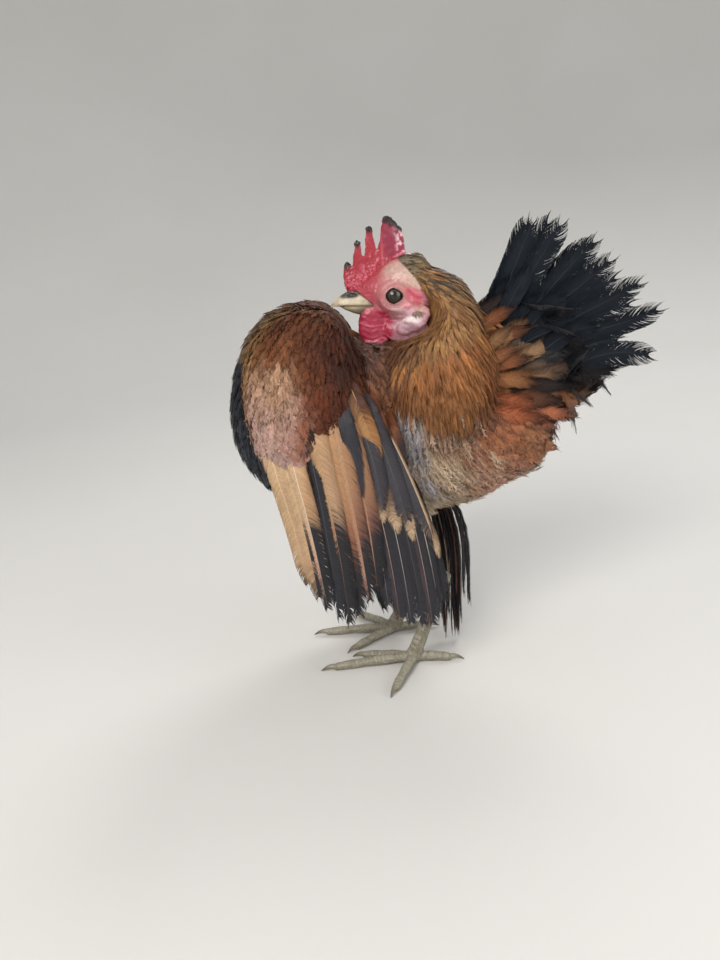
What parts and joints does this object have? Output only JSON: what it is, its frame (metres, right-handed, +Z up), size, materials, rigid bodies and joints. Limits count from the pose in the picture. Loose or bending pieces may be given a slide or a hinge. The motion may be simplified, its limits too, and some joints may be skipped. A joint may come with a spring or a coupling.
{
  "type": "serama chicken",
  "caption": "Life-size still model of a small upright bantam cockerel with a high breast, drawn-back neck, fanned tail and wings hanging beside its legs.",
  "frame": {"origin": "on the floor, under the middle of the bird's bounding box", "axes": "+Z is up; the bird faces -X, so its tail points to +X and its left side faces -Y"},
  "size_m": [0.205, 0.0964, 0.221],
  "materials": {
    "gold": "soft feathered, golden brown",
    "rust": "soft feathered, rufous brown",
    "black": "feathered, black with a faint gloss",
    "buff": "feathered, pale buff",
    "down": "loose downy feathers, grey buff",
    "comb": "fleshy, finely pimpled, red",
    "face": "bare skin, pink",
    "lobe": "bare skin, pale lilac white",
    "horn": "horn, satin",
    "scale": "dry scales, dusty yellow grey",
    "eye": "wet and glossy"
  },
  "bodies": {
    "root": {"back": "rust", "beak_lower": "horn", "beak_upper": "horn", "belly": "down", "breast": "black", "claw_left_1": "horn", "claw_left_2": "horn", "claw_left_3": "horn", "claw_left_4": "horn", "claw_right_1": "horn", "claw_right_2": "horn", "claw_right_3": "horn", "claw_right_4": "horn", "comb": "comb", "ear_lobe_left": "lobe", "ear_lobe_right": "lobe", "eye_left": "eye", "eye_right": "eye", "hackle_cape": "gold", "head": "face", "neck": "gold", "shank_left": "scale", "shank_right": "scale", "tail_coverts": "rust", "tail_feather_left_1": "black", "tail_feather_left_2": "black", "tail_feather_left_3": "black", "tail_feather_left_4": "black", "tail_feather_left_5": "black", "tail_feather_left_6": "black", "tail_feather_left_7": "black", "tail_feather_right_1": "black", "tail_feather_right_2": "black", "tail_feather_right_3": "black", "tail_feather_right_4": "black", "tail_feather_right_5": "black", "tail_feather_right_6": "black", "tail_feather_right_7": "black", "thigh_left": "down", "thigh_right": "down", "toe_left_1": "scale", "toe_left_2": "scale", "toe_left_3": "scale", "toe_left_4": "scale", "toe_right_1": "scale", "toe_right_2": "scale", "toe_right_3": "scale", "toe_right_4": "scale", "undertail_coverts": "down", "wattle_left": "comb", "wattle_right": "comb", "wing_left_coverts": "buff", "wing_left_primaries": "buff", "wing_left_secondaries": "black", "wing_left_shoulder": "rust", "wing_right_coverts": "buff", "wing_right_primaries": "buff", "wing_right_secondaries": "black", "wing_right_shoulder": "rust"}
  },
  "joints": []
}
